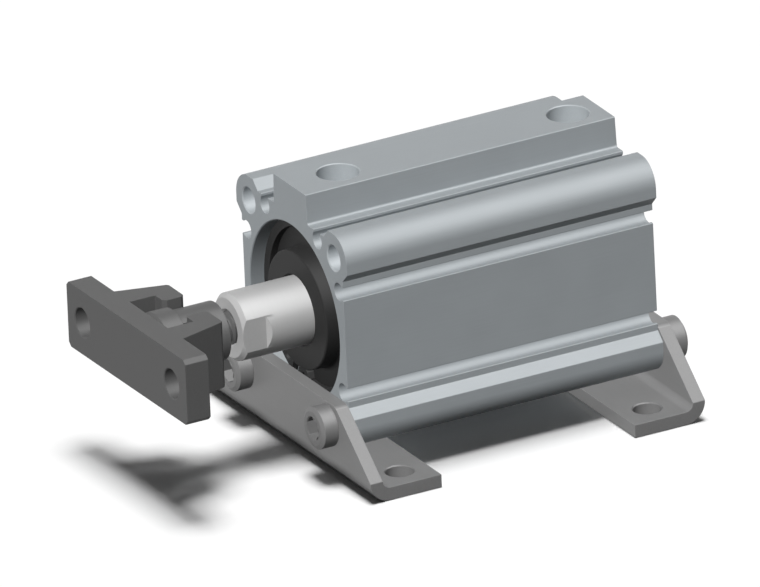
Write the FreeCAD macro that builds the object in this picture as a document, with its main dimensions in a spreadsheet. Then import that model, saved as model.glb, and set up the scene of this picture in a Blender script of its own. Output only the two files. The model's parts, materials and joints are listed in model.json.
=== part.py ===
import FreeCAD, Part
import math
import os
import types

import Sketcher

# Compact pneumatic cylinder on foot brackets, with a floating joint on the rod.
# The frame: X along the bore, rod towards -X, Z up. The origin is the centre of the
# four foot holes, on the mounting plane. Every piece on the cylinder's axis is drawn
# in stations, which are distances from the tube's front face, and in radii.

# Driving dimensions in millimetres, the sheet holds one cell for each.
SIZES = {
    # Tube, an extruded aluminium profile
    "stroke": 40.0,
    "axis_height": 33.0,
    "hole_pitch": 40.0,
    "lobe_radius": 6.0,
    "lobe_height": 2.21,
    "lobe_foot": 15.49,
    "boss_height": 31.0,
    "boss_top_width": 15.04,
    "boss_foot_width": 15.9,
    "boss_fillet": 0.6,
    "sensor_offset": 12.32,
    "sensor_groove_dia": 4.24,
    "sensor_mouth": 3.1,
    "through_hole_dia": 5.5,
    "tapped_dia": 6.0,
    "tapped_depth": 11.0,
    "port_dia": 9.8,
    "port_depth": 7.6,
    "port_from_front": 12.5,
    "port_from_rear": 8.0,
    "passage_dia": 4.5,
    # Bore and what seats in it
    "bore_dia": 40.0,
    "seat_step": 1.0,
    "front_seat_depth": 10.0,
    "rear_seat_depth": 5.5,
    "seat_clearance": 0.05,
    # Retaining ring
    "ring_station": 3.65,
    "ring_thickness": 1.75,
    "ring_groove_depth": 1.25,
    "ring_rim_play": 0.1,
    "ring_side_play": 0.05,
    "ring_width": 3.35,
    "ring_gap": 2.4,
    "lug_height": 5.8,
    "lug_span": 13.0,
    "lug_taper": 0.6,
    "lug_corner": 1.25,
    "lug_hole_dia": 2.5,
    "lug_hole_inset": 2.5,
    # Collar, the front cover that guides the rod
    "nose_station": 0.5,
    "nose_dia": 28.0,
    "nose_chamfer": 0.4,
    "nose_fillet": 1.2,
    "hub_dia": 32.0,
    "hub_station": 17.0,
    "lip_clearance": 0.4,
    "lip_length": 1.6,
    "rod_seal_section": 3.5,
    "rod_seal_length": 4.2,
    "rod_seal_wall": 1.15,
    "rod_seal_cup": 2.1,
    "rod_seal_bevel": 0.3,
    "rod_seal_bevel_length": 2.8,
    "bushing_station": 7.4,
    "bushing_wall": 1.5,
    "gasket_section": 2.0,
    "gasket_groove_width": 2.6,
    "gasket_groove_depth": 1.7,
    # Bottom plate, the rear cover
    "bottom_thickness": 4.5,
    "bottom_boss_dia": 30.0,
    "bottom_boss_length": 1.0,
    # Rod
    "rod_dia": 16.0,
    "rod_overhang": 17.1,
    "rod_chamfer": 1.0,
    "rod_flats": 14.0,
    "rod_flats_end": 6.0,
    "rod_thread_dia": 8.0,
    "rod_thread_depth": 14.0,
    "rod_mouth_chamfer": 0.45,
    "rod_spigot_dia": 10.0,
    "rod_stake_flare": 1.0,
    "rod_fit": 0.03,
    # Piston and its rings
    "end_gap": 0.1,
    "piston_fit": 0.1,
    "piston_length": 14.8,
    "stake_relief": 1.0,
    "bumper_height": 1.0,
    "bumper_depth": 1.5,
    "bumper_inner_dia": 20.5,
    "bumper_outer_dia": 28.5,
    "land_length": 1.3,
    "rib_length": 1.0,
    "wear_ring_width": 3.0,
    "wear_ring_thickness": 1.5,
    "piston_seal_width": 3.0,
    "piston_seal_height": 3.6,
    "piston_seal_waist": 0.7,
    "piston_seal_land": 0.75,
    "magnet_width": 3.0,
    "magnet_height": 3.6,
    "rear_land_step": 1.3,
    "ring_fit": 0.05,
    # Joint stud
    "joint_gap": 2.9,
    "joint_head_dia": 15.8,
    "joint_head_length": 6.0,
    "joint_head_chamfer": 1.3,
    "joint_neck_dia": 14.0,
    "joint_neck_length": 7.0,
    "joint_neck_flats": 8.0,
    "joint_collar_length": 4.0,
    "joint_stud_length": 11.0,
    "joint_stud_chamfer": 0.7,
    "thread_clearance": 0.05,
    # Mounting bracket, with a T-slot that takes the stud's head and neck
    "bracket_height": 16.0,
    "bracket_plate": 6.0,
    "bracket_chamfer": 1.0,
    "bracket_hole_pitch": 42.0,
    "bracket_hole_to_end": 7.0,
    "bracket_hole_dia": 7.0,
    "head_front_play": 0.1,
    "head_rear_play": 0.4,
    "head_side_play": 1.1,
    "neck_side_play": 1.0,
    "neck_end_play": 1.1,
    "slot_neck_chamfer": 0.9,
    "jaw_foot_wall": 7.3,
    "jaw_tip_wall": 4.0,
    "jaw_tip_chamfer": 0.5,
    # Foot brackets, bent sheet steel
    "foot_thickness": 3.2,
    "foot_inner_radius": 1.8,
    "foot_hole_pitch": 64.0,
    "foot_hole_dia": 6.6,
    "foot_hole_from_end": 8.0,
    "foot_hole_to_toe": 7.0,
    "foot_hole_to_side": 7.0,
    "foot_top_over_bolt": 5.55,
    "foot_top_past_bolt": 4.0,
    "foot_corner": 0.6,
    "foot_corner_width": 1.4,
    # Foot bolts
    "bolt_hole_clearance": 0.3,
    "bolt_head_dia": 10.0,
    "bolt_head_height": 4.1,
    "bolt_head_chamfer": 1.0,
    "bolt_head_chamfer_height": 0.6,
    "bolt_length": 11.0,
    "bolt_tip_chamfer": 0.8,
    "bolt_socket_flats": 5.0,
    "bolt_socket_depth": 2.4,
    "bolt_socket_drill": 4.5,
}

# Turns about X in degrees: the ring's gap from straight down, and each bolt's socket.
RING_TURN = 24.5
SOCKET_TURNS = {"front_left": 37.0, "front_right": 14.0, "rear_left": 52.0, "rear_right": 5.0}

# A drilled hole ends in a cone this deep for each millimetre of its radius.
DRILL_POINT = 1 / math.tan(math.radians(59))
# A cut's outline runs this far past the solid that it trims.
OVERCUT = 1.0
# Two lengths this close are the same, and so are two directions.
NEAR = 1e-3

doc = FreeCAD.newDocument("CompactCylinder")


class Size:
    """A length that is both a number and the sheet expression it comes from."""

    def __init__(self, number, text):
        self.number = number
        self.text = text

    @staticmethod
    def of(value):
        return value if isinstance(value, Size) else Size(float(value), repr(float(value)))

    def joined(self, other, sign, number):
        return Size(number, f"({self.text} {sign} {other.text})")

    def __add__(self, other):
        other = Size.of(other)
        return self.joined(other, "+", self.number + other.number)

    def __sub__(self, other):
        other = Size.of(other)
        return self.joined(other, "-", self.number - other.number)

    def __mul__(self, other):
        other = Size.of(other)
        return self.joined(other, "*", self.number * other.number)

    def __truediv__(self, other):
        other = Size.of(other)
        return self.joined(other, "/", self.number / other.number)

    def __neg__(self):
        return Size.of(0) - self


def fill_sheet():
    """Writes the driving dimensions to the sheet and returns them by name."""
    sheet = doc.addObject("Spreadsheet::Sheet", "Sizes")
    by_name = {}
    for row, (name, number) in enumerate(SIZES.items(), start=1):
        sheet.set(f"A{row}", name)
        sheet.set(f"B{row}", str(number))
        sheet.setAlias(f"B{row}", name)
        by_name[name] = Size(number, f"Sizes.{name}")
    doc.recompute()
    return types.SimpleNamespace(**by_name)


size = fill_sheet()
ZERO = Size.of(0)

# The piston runs from the bottom plate to the collar's hub, which makes the tube's length.
piston_space = size.piston_length + (size.bumper_height + size.end_gap) * 2
bottom_face = size.hub_station + size.stroke + piston_space
body_length = bottom_face + size.rear_seat_depth
half_body = body_length / 2

# Stations and radii that several pieces share
hole_aside = size.hole_pitch / 2
bore_radius = size.bore_dia / 2
seat_wall = bore_radius + size.seat_step
seat_radius = seat_wall - size.seat_clearance
ring_groove = seat_wall + size.ring_groove_depth
collar_face = size.ring_station + size.ring_thickness + size.ring_side_play
piston_rear = bottom_face - size.end_gap - size.bumper_height
piston_front = piston_rear - size.piston_length
piston_radius = bore_radius - size.piston_fit
rod_radius = size.rod_dia / 2
rod_tip = -size.rod_overhang
rod_end = piston_rear - size.bumper_depth
spigot_radius = size.rod_spigot_dia / 2
stake_radius = spigot_radius + size.rod_stake_flare
rod_seal_start = size.nose_station + size.lip_length
rod_seal_end = rod_seal_start + size.rod_seal_length
rod_seal_radius = rod_radius + size.rod_seal_section
bushing_radius = rod_radius + size.bushing_wall
collar_groove = (collar_face + size.front_seat_depth) / 2
bottom_groove = bottom_face + size.bottom_thickness / 2
joint_seat = rod_tip - size.joint_gap
neck_end = joint_seat - size.joint_collar_length
head_rear = neck_end - size.joint_neck_length
head_front = head_rear - size.joint_head_length
slot_floor = head_front - size.head_front_play


def title(name):
    """A sub-part's name as the first word of its sketches' names."""
    return name.title().replace("_", "")


def origin_part(body, role):
    """The body's own origin plane or axis with that role."""
    return next(item for item in body.Origin.OriginFeatures if item.Role == role)


def bind(item, prop, value):
    """Ties a property to the sheet."""
    item.setExpression(prop, Size.of(value).text)


def new_body(name, station=ZERO, aside=ZERO, above=ZERO, turn=0.0, about_z=False):
    """A body whose local origin is on the cylinder's axis at a station."""
    body = doc.addObject("PartDesign::Body", name)
    body.Label = name
    axis = FreeCAD.Vector(0, 0, 1) if about_z else FreeCAD.Vector(1, 0, 0)
    body.Placement = FreeCAD.Placement(FreeCAD.Vector(), FreeCAD.Rotation(axis, turn))
    bind(body, "Placement.Base.x", station - half_body)
    bind(body, "Placement.Base.y", aside)
    bind(body, "Placement.Base.z", size.axis_height + above)
    return body


def new_sketch(body, name, role, offset=None):
    """A sketch on one of the body's origin planes, moved out along its normal."""
    sketch = body.newObject("Sketcher::SketchObject", name)
    sketch.AttachmentSupport = (origin_part(body, role), [""])
    sketch.MapMode = "FlatFace"
    if offset is not None:
        bind(sketch, "AttachmentOffset.Base.z", offset)
    return sketch


def hold(sketch, kind, *geometry, value):
    """Adds a dimension to a sketch and ties it to the sheet."""
    value = Size.of(value)
    index = sketch.addConstraint(Sketcher.Constraint(kind, *geometry, value.number))
    sketch.setExpression(f"Constraints[{index}]", value.text)


def place_point(sketch, line, end, u, v):
    """Fixes the end of an edge at (u, v) from the sketch's origin."""
    hold(sketch, "DistanceX", -1, 1, line, end, value=u)
    hold(sketch, "DistanceY", -1, 1, line, end, value=v)


def outline(sketch, corners):
    """Draws a closed outline through corners.

    A corner is (u, v) where a straight edge ends, or (u, v, centre_u, centre_v, ccw) where
    an arc ends. The first corner is where the outline starts and closes.
    """
    places = [(Size.of(corner[0]), Size.of(corner[1])) for corner in corners]
    edges = []
    for index, corner in enumerate(corners):
        start, end = places[index - 1], places[index]
        first = FreeCAD.Vector(start[0].number, start[1].number, 0)
        last = FreeCAD.Vector(end[0].number, end[1].number, 0)
        if len(corner) == 2:
            edges.append((sketch.addGeometry(Part.LineSegment(first, last), False), 1, 2))
            continue
        centre_u, centre_v, ccw = Size.of(corner[2]), Size.of(corner[3]), corner[4]
        centre = FreeCAD.Vector(centre_u.number, centre_v.number, 0)
        circle = Part.Circle(centre, FreeCAD.Vector(0, 0, 1), centre.distanceToPoint(first))
        turns = [math.atan2(p.y - centre.y, p.x - centre.x) for p in (first, last)]
        if not ccw:
            turns.reverse()
        if turns[1] <= turns[0]:
            turns[1] += 2 * math.pi
        arc = sketch.addGeometry(Part.ArcOfCircle(circle, turns[0], turns[1]), False)
        edges.append((arc, 1, 2) if ccw else (arc, 2, 1))
        place_point(sketch, arc, 3, centre_u, centre_v)
    for index, (edge, start, end) in enumerate(edges):
        after, after_start, _ = edges[(index + 1) % len(edges)]
        sketch.addConstraint(Sketcher.Constraint("Coincident", edge, end, after, after_start))
        u, v = places[index]
        if len(corners[index]) == 2:
            place_point(sketch, edge, end, u, v)
            continue
        # The centre and the start give an arc its radius, so one distance places its end.
        centre_u, centre_v = Size.of(corners[index][2]), Size.of(corners[index][3])
        if abs(v.number - centre_v.number) > abs(u.number - centre_u.number):
            hold(sketch, "DistanceX", -1, 1, edge, end, value=u)
        else:
            hold(sketch, "DistanceY", -1, 1, edge, end, value=v)


def circles(sketch, places, radius):
    """Draws one circle of that radius round each (u, v)."""
    for u, v in places:
        u, v = Size.of(u), Size.of(v)
        centre = FreeCAD.Vector(u.number, v.number, 0)
        ring = sketch.addGeometry(Part.Circle(centre, FreeCAD.Vector(0, 0, 1), radius.number), False)
        place_point(sketch, ring, 3, u, v)
        hold(sketch, "Radius", ring, value=radius)


def pad(body, sketch, length, reverse=False):
    """Extrudes a sketch into the body."""
    feature = body.newObject("PartDesign::Pad", sketch.Name + "Pad")
    feature.Profile = sketch
    feature.Reversed = reverse
    bind(feature, "Length", length)
    doc.recompute()
    return feature


def pocket(body, sketch, length, reverse=False):
    """Cuts a sketch out of the body, and makes sure that it took something away."""
    before = body.Shape.Volume
    feature = body.newObject("PartDesign::Pocket", sketch.Name + "Pocket")
    feature.Profile = sketch
    feature.Reversed = reverse
    bind(feature, "Length", length)
    doc.recompute()
    if body.Shape.Volume >= before:
        raise RuntimeError(f"{feature.Name} cuts nothing")
    return feature


def turned(body, name, corners):
    """A turned piece: an outline in stations and radii, revolved about the axis."""
    sketch = new_sketch(body, name, "XZ_Plane")
    outline(sketch, corners)
    feature = body.newObject("PartDesign::Revolution", name + "Turn")
    feature.Profile = sketch
    feature.ReferenceAxis = (sketch, ["H_Axis"])
    feature.Angle = 360
    doc.recompute()
    return feature


def bored(body, name, corners):
    """A turned cut about the axis."""
    before = body.Shape.Volume
    sketch = new_sketch(body, name, "XZ_Plane")
    outline(sketch, corners)
    feature = body.newObject("PartDesign::Groove", name + "Bore")
    feature.Profile = sketch
    feature.ReferenceAxis = (sketch, ["H_Axis"])
    feature.Angle = 360
    doc.recompute()
    if body.Shape.Volume >= before:
        raise RuntimeError(f"{feature.Name} cuts nothing")
    return feature


def polar(body, feature, count):
    """Repeats a feature about the cylinder's axis."""
    pattern = body.newObject("PartDesign::PolarPattern", feature.Name + "Polar")
    pattern.Originals = [feature]
    pattern.Axis = (origin_part(body, "X_Axis"), [""])
    pattern.Angle = 360
    pattern.Occurrences = count
    body.Tip = pattern
    doc.recompute()
    return pattern


def mirrored(body, feature, role):
    """Repeats a feature on the other side of one of the body's planes."""
    mirror = body.newObject("PartDesign::Mirrored", feature.Name + "Mirror")
    mirror.Originals = [feature]
    mirror.MirrorPlane = (origin_part(body, role), [""])
    body.Tip = mirror
    doc.recompute()
    return mirror


def edges_where(feature, test):
    """Names of a feature's edges that pass a test on the edge."""
    found = [f"Edge{i}" for i, edge in enumerate(feature.Shape.Edges, start=1) if test(edge)]
    if not found:
        raise RuntimeError(f"{feature.Name} has no such edge")
    return found


def dress(body, kind, feature, names, prop, value):
    """Adds a Fillet or a Chamfer to named edges."""
    dressed = body.newObject("PartDesign::" + kind, feature.Name + kind)
    dressed.Base = (feature, names)
    bind(dressed, prop, value)
    body.Tip = dressed
    doc.recompute()
    return dressed


def runs_along_bore(edge):
    """Whether an edge is parallel to the cylinder's axis."""
    return abs(edge.tangentAt(edge.FirstParameter).x) > 1 - NEAR


def quarter_turn(u, v, quarters):
    """A place turned by quarter turns about the sketch's origin."""
    for _ in range(quarters):
        u, v = -v, u
    return u, v


def lobe_corners(quarter, face):
    """One quarter of the tube's outline: a round lobe on sloped shoulders."""
    reach = hole_aside + size.lobe_radius
    shoulder = size.lobe_foot + size.lobe_height
    round_end = quarter_turn(hole_aside, reach, quarter)
    round_centre = quarter_turn(hole_aside, hole_aside, quarter)
    return [
        quarter_turn(face, size.lobe_foot, quarter),
        quarter_turn(reach, shoulder, quarter),
        quarter_turn(reach, hole_aside, quarter),
        (*round_end, *round_centre, True),
        quarter_turn(shoulder, reach, quarter),
        quarter_turn(size.lobe_foot, face, quarter),
    ]


def add_port_boss(body, face):
    """The boss on the top face, with slightly drawn-in flanks and a fillet at each foot."""
    boss = new_sketch(body, "BossProfile", "YZ_Plane")
    top, foot = size.boss_top_width / 2, size.boss_foot_width / 2
    sunk = face - size.boss_fillet
    outline(boss, [(-top, size.boss_height), (-foot, face), (-foot, sunk), (foot, sunk),
                   (foot, face), (top, size.boss_height)])
    boss_pad = pad(body, boss, body_length)

    def at_foot(edge):
        middle = edge.CenterOfMass
        beside = abs(abs(middle.y) - foot.number) < NEAR
        return runs_along_bore(edge) and beside and abs(middle.z - face.number) < NEAR

    dress(body, "Fillet", boss_pad, edges_where(boss_pad, at_foot), "Radius", size.boss_fillet)


def cut_sensor_grooves(body, face):
    """Round grooves with a narrower mouth, two on each of the four faces."""
    groove_radius = size.sensor_groove_dia / 2
    centre = face - groove_radius
    rounds = new_sketch(body, "SensorRound", "YZ_Plane")
    circles(rounds, [(size.sensor_offset, centre), (-size.sensor_offset, centre)], groove_radius)
    polar(body, pocket(body, rounds, body_length, reverse=True), 4)
    mouths = new_sketch(body, "SensorMouth", "YZ_Plane")
    for side in (1, -1):
        near = (size.sensor_offset - size.sensor_mouth / 2) * side
        far = (size.sensor_offset + size.sensor_mouth / 2) * side
        outline(mouths, [(near, centre), (far, centre), (far, face), (near, face)])
    polar(body, pocket(body, mouths, body_length, reverse=True), 4)


def cut_mounting_holes(body):
    """Holes through the four lobes, tapped at both ends."""
    through = new_sketch(body, "ThroughHole", "YZ_Plane")
    circles(through, [(hole_aside, hole_aside)], size.through_hole_dia / 2)
    polar(body, pocket(body, through, body_length, reverse=True), 4)
    front_tap = new_sketch(body, "FrontTap", "YZ_Plane")
    circles(front_tap, [(hole_aside, hole_aside)], size.tapped_dia / 2)
    polar(body, pocket(body, front_tap, size.tapped_depth, reverse=True), 4)
    rear_tap = new_sketch(body, "RearTap", "YZ_Plane", body_length)
    circles(rear_tap, [(hole_aside, hole_aside)], size.tapped_dia / 2)
    polar(body, pocket(body, rear_tap, size.tapped_depth), 4)


def cut_ports(body):
    """The two ports in the boss, each with a narrower passage down to the bore."""
    places = [(size.port_from_front, 0), (body_length - size.port_from_rear, 0)]
    ports = new_sketch(body, "Port", "XY_Plane", size.boss_height)
    circles(ports, places, size.port_dia / 2)
    pocket(body, ports, size.port_depth)
    passages = new_sketch(body, "Passage", "XY_Plane", size.boss_height)
    circles(passages, places, size.passage_dia / 2)
    pocket(body, passages, size.boss_height - bore_radius + OVERCUT)


def make_tube():
    """The extruded tube: four round lobes, sensor grooves and the port boss."""
    body = new_body("cylinder_tube")
    face = hole_aside + size.lobe_radius - size.lobe_height
    profile = new_sketch(body, "TubeProfile", "YZ_Plane")
    outline(profile, [corner for quarter in range(4) for corner in lobe_corners(quarter, face)])
    pad(body, profile, body_length)
    add_port_boss(body, face)
    cut_sensor_grooves(body, face)

    # Bore, with a wider seat for the covers at each end and the ring's groove in front.
    ring_front = size.ring_station - size.ring_side_play
    bored(body, "BoreProfile", [
        (0, 0), (0, seat_wall), (ring_front, seat_wall), (ring_front, ring_groove),
        (collar_face, ring_groove), (collar_face, seat_wall), (size.front_seat_depth, seat_wall),
        (size.front_seat_depth, bore_radius), (bottom_face, bore_radius), (bottom_face, seat_wall),
        (body_length, seat_wall), (body_length, 0),
    ])
    cut_mounting_holes(body)
    cut_ports(body)
    return body


def gasket_groove(middle):
    """The corners of a rectangular groove for a gasket in a cover's rim."""
    half = size.gasket_groove_width / 2
    floor = seat_radius - size.gasket_groove_depth
    return [(middle - half, seat_radius), (middle - half, floor), (middle + half, floor),
            (middle + half, seat_radius)]


def make_gasket(name, middle):
    """A round-section gasket, pressed flat on its seat and its groove's floor."""
    body = new_body(name)
    floor = seat_radius - size.gasket_groove_depth
    height = seat_wall - floor
    # The round section is squeezed to the groove's height and bulges sideways.
    flat = (size.gasket_section * size.gasket_section / height - height) / 2
    near, far, centre = middle - flat, middle + flat, floor + height / 2
    turned(body, title(name), [
        (far, floor),
        (far, seat_wall, far, centre, True),
        (near, seat_wall),
        (near, floor, near, centre, True),
    ])
    return body


def make_collar():
    """The front cover: a nose round the rod, a flange in the seat and a hub behind."""
    body = new_body("collar")
    nose, hub = size.nose_dia / 2, size.hub_dia / 2
    lip = rod_radius + size.lip_clearance
    root = collar_face - size.nose_fillet
    turned(body, "CollarProfile", [
        (size.nose_station, lip),
        (size.nose_station, nose - size.nose_chamfer),
        (size.nose_station + size.nose_chamfer, nose),
        (root, nose),
        (collar_face, nose + size.nose_fillet, root, nose + size.nose_fillet, True),
        (collar_face, seat_radius),
        *gasket_groove(collar_groove),
        (size.front_seat_depth, seat_radius),
        (size.front_seat_depth, hub),
        (size.hub_station, hub),
        (size.hub_station, bushing_radius),
        (size.bushing_station, bushing_radius),
        (size.bushing_station, lip),
        (rod_seal_end, lip),
        (rod_seal_end, rod_seal_radius),
        (rod_seal_start, rod_seal_radius),
        (rod_seal_start, lip),
    ])
    return body


def make_rod_seal():
    """A lip seal in the collar's nose, with its open side towards the pressure."""
    body = new_body("rod_seal")
    start, end = rod_seal_start, rod_seal_end
    outer, inner = rod_seal_radius, rod_radius + size.rod_fit
    turned(body, "RodSealProfile", [
        (start, inner + size.rod_seal_bevel), (start, outer), (end, outer),
        (end, outer - size.rod_seal_wall), (end - size.rod_seal_cup, (outer + inner) / 2),
        (end, inner + size.rod_seal_wall), (end, inner), (start + size.rod_seal_bevel_length, inner),
    ])
    return body


def make_bushing():
    """The plain bearing that guides the rod in the collar's hub."""
    body = new_body("rod_bushing")
    inner = rod_radius + size.rod_fit
    turned(body, "BushingProfile", [
        (size.bushing_station, inner), (size.bushing_station, bushing_radius),
        (size.hub_station, bushing_radius), (size.hub_station, inner),
    ])
    return body


def make_retaining_ring():
    """A snap ring for a bore: a flat band, open below, with two eyed lugs."""
    body = new_body("retaining_ring", size.ring_station, turn=RING_TURN)
    outer = ring_groove - size.ring_rim_play
    inner = outer - size.ring_width
    band = new_sketch(body, "RingBand", "YZ_Plane")
    circles(band, [(0, 0)], outer)
    circles(band, [(0, 0)], inner)
    pad(body, band, size.ring_thickness)
    lugs = new_sketch(body, "RingLugs", "YZ_Plane")
    half = size.lug_span / 2
    tip = size.lug_height - outer
    root = -(outer + inner) / 2
    shoulder = half - size.lug_taper
    flat = shoulder - size.lug_corner
    outline(lugs, [
        (half, root), (shoulder, tip - size.lug_corner), (flat, tip),
        (-flat, tip), (-shoulder, tip - size.lug_corner), (-half, root),
    ])
    pad(body, lugs, size.ring_thickness)
    gap = new_sketch(body, "RingGap", "YZ_Plane")
    open_half = size.ring_gap / 2
    below, above = -(outer + OVERCUT), tip + OVERCUT
    outline(gap, [(open_half, below), (open_half, above), (-open_half, above), (-open_half, below)])
    pocket(body, gap, size.ring_thickness, reverse=True)
    eyes = new_sketch(body, "RingEyes", "YZ_Plane")
    aside, down = (half + open_half) / 2, tip - size.lug_hole_inset
    circles(eyes, [(aside, down), (-aside, down)], size.lug_hole_dia / 2)
    pocket(body, eyes, size.ring_thickness, reverse=True)
    return body


def make_bottom_plate():
    """The rear cover, a disc with a gasket groove in its rim and a low centre boss."""
    body = new_body("bottom_plate")
    rear = bottom_face + size.bottom_thickness
    boss = size.bottom_boss_dia / 2
    turned(body, "BottomProfile", [
        (bottom_face, 0), (bottom_face, seat_radius), *gasket_groove(bottom_groove),
        (rear, seat_radius), (rear, boss), (rear - size.bottom_boss_length, boss),
        (rear - size.bottom_boss_length, 0),
    ])
    return body


def make_rod():
    """The piston rod: female thread and wrench flats in front, a staked spigot behind."""
    body = new_body("piston_rod")
    turned(body, "RodProfile", [
        (rod_tip, 0), (rod_tip, rod_radius - size.rod_chamfer),
        (rod_tip + size.rod_chamfer, rod_radius), (piston_front, rod_radius),
        (piston_front, spigot_radius), (rod_end - size.rod_stake_flare, spigot_radius),
        (rod_end, stake_radius), (rod_end, 0),
    ])
    thread = size.rod_thread_dia / 2
    bottom = rod_tip + size.rod_thread_depth
    bored(body, "RodThreadProfile", [
        (rod_tip, 0), (rod_tip, thread + size.rod_mouth_chamfer),
        (rod_tip + size.rod_mouth_chamfer, thread), (bottom, thread),
        (bottom + thread * DRILL_POINT, 0),
    ])
    # Each flat ends in a 45 degree ramp up to the round.
    flat, clear = size.rod_flats / 2, rod_radius + OVERCUT
    flats = new_sketch(body, "RodFlat", "XY_Plane", -clear)
    flats_end, front = rod_tip + size.rod_flats_end, rod_tip - OVERCUT
    outline(flats, [(front, flat), (flats_end, flat), (flats_end + clear - flat, clear), (front, clear)])
    mirrored(body, pocket(body, flats, clear * 2, reverse=True), "XZ_Plane")
    return body


def make_piston():
    """The piston: grooves for the wear ring, seal and magnet, and a seat for each bumper."""
    body = new_body("piston")
    bumper_in, bumper_out = size.bumper_inner_dia / 2, size.bumper_outer_dia / 2
    corners = [
        (piston_front, spigot_radius), (piston_front, bumper_in),
        (piston_front + size.bumper_depth, bumper_in), (piston_front + size.bumper_depth, bumper_out),
        (piston_front, bumper_out), (piston_front, piston_radius),
    ]
    for start, width, floor in ring_seats():
        corners += [(start, piston_radius), (start, floor), (start + width, floor),
                    (start + width, piston_radius)]
    rear_land = piston_radius - size.rear_land_step
    last_start, last_width, _ = ring_seats()[-1]
    relief = last_start + last_width + size.rib_length
    corners += [
        (relief, piston_radius), (relief, rear_land), (piston_rear, rear_land),
        (piston_rear, bumper_out), (rod_end, bumper_out), (rod_end, bumper_in),
        (piston_rear, bumper_in), (piston_rear, stake_radius + size.stake_relief),
        (rod_end, stake_radius), (rod_end - size.rod_stake_flare, spigot_radius),
    ]
    turned(body, "PistonProfile", corners)
    return body


def ring_seats():
    """Where each piston ring sits: its groove's start, width and floor radius."""
    wear = piston_front + size.land_length
    seal = wear + size.wear_ring_width + size.ring_fit * 2 + size.rib_length
    magnet = seal + size.piston_seal_width + size.ring_fit * 2 + size.rib_length
    return [
        (wear, size.wear_ring_width + size.ring_fit * 2,
         bore_radius - size.wear_ring_thickness - size.ring_fit * 2),
        (seal, size.piston_seal_width + size.ring_fit * 2,
         bore_radius - size.piston_seal_height - size.ring_fit * 2),
        (magnet, size.magnet_width, piston_radius - size.magnet_height),
    ]


def make_wear_ring():
    """The resin guide band, a little proud of the piston."""
    body = new_body("wear_ring")
    start, width, floor = ring_seats()[0]
    outer = bore_radius - size.ring_fit
    turned(body, "WearRingProfile", [
        (start + size.ring_fit, floor + size.ring_fit), (start + size.ring_fit, outer),
        (start + width - size.ring_fit, outer), (start + width - size.ring_fit, floor + size.ring_fit),
    ])
    return body


def make_piston_seal():
    """The rubber piston seal, with a shallow waist in its outer face."""
    body = new_body("piston_seal")
    start, width, floor = ring_seats()[1]
    inner, outer = floor + size.ring_fit, bore_radius - size.ring_fit
    near, far = start + size.ring_fit, start + width - size.ring_fit
    turned(body, "PistonSealProfile", [
        (near, inner), (near, outer), (near + size.piston_seal_land, outer),
        (start + width / 2, outer - size.piston_seal_waist), (far - size.piston_seal_land, outer),
        (far, outer), (far, inner),
    ])
    return body


def make_magnet():
    """The magnet ring that the sensors in the grooves see."""
    body = new_body("magnet_ring")
    start, width, floor = ring_seats()[2]
    outer = piston_radius - size.piston_fit
    turned(body, "MagnetProfile", [
        (start, floor), (start, outer), (start + width, outer), (start + width, floor),
    ])
    return body


def make_bumper(name, near, far):
    """A rubber bumper ring between two stations."""
    body = new_body(name)
    inner, outer = size.bumper_inner_dia / 2, size.bumper_outer_dia / 2
    turned(body, title(name), [(near, inner), (near, outer), (far, outer), (far, inner)])
    return body


def make_joint_stud():
    """The floating joint's stud: a disc head, a flatted neck, a collar and a thread."""
    body = new_body("joint_stud")
    head, neck = size.joint_head_dia / 2, size.joint_neck_dia / 2
    thread = size.rod_thread_dia / 2 - size.thread_clearance
    stud_end = joint_seat + size.joint_stud_length
    turned(body, "StudProfile", [
        (head_front, 0), (head_front, head - size.joint_head_chamfer),
        (head_front + size.joint_head_chamfer, head), (head_rear, head), (head_rear, neck),
        (joint_seat, neck), (joint_seat, thread), (stud_end - size.joint_stud_chamfer, thread),
        (stud_end, thread - size.joint_stud_chamfer), (stud_end, 0),
    ])
    flat, clear = size.joint_neck_flats / 2, neck + OVERCUT
    flats = new_sketch(body, "NeckFlat", "XY_Plane", -clear)
    outline(flats, [(head_rear, flat), (neck_end, flat), (neck_end, clear), (head_rear, clear)])
    mirrored(body, pocket(body, flats, clear * 2, reverse=True), "XZ_Plane")
    return body


def make_bracket():
    """The mounting bracket: a drilled plate with two jaws that form a T-slot."""
    body = new_body("mounting_bracket")
    front = slot_floor - size.bracket_plate
    lip = head_rear + size.head_rear_play
    tip = neck_end - size.neck_end_play
    pitch = size.bracket_hole_pitch / 2
    half = pitch + size.bracket_hole_to_end
    slot = size.joint_head_dia / 2 + size.head_side_play
    neck = size.joint_neck_flats / 2 + size.neck_side_play
    foot, end = slot + size.jaw_foot_wall, slot + size.jaw_tip_wall
    bevel, break_edge = size.slot_neck_chamfer, size.jaw_tip_chamfer
    one_side = [
        (front, half), (slot_floor, half), (slot_floor, foot), (tip - break_edge, end),
        (tip, end - break_edge), (tip, neck + bevel), (tip - bevel, neck), (lip + bevel, neck),
        (lip, neck + bevel), (lip, slot), (slot_floor, slot),
    ]
    other_side = [(station, -aside) for station, aside in reversed(one_side)]
    profile = new_sketch(body, "BracketProfile", "XY_Plane", -size.bracket_height / 2)
    outline(profile, one_side + other_side)
    plate = pad(body, profile, size.bracket_height)

    def at_end(edge):
        return runs_along_bore(edge) and abs(abs(edge.CenterOfMass.y) - half.number) < NEAR

    dress(body, "Chamfer", plate, edges_where(plate, at_end), "Size", size.bracket_chamfer)
    holes = new_sketch(body, "BracketHoles", "YZ_Plane", front)
    circles(holes, [(pitch, 0), (-pitch, 0)], size.bracket_hole_dia / 2)
    pocket(body, holes, size.bracket_plate, reverse=True)
    return body


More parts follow.
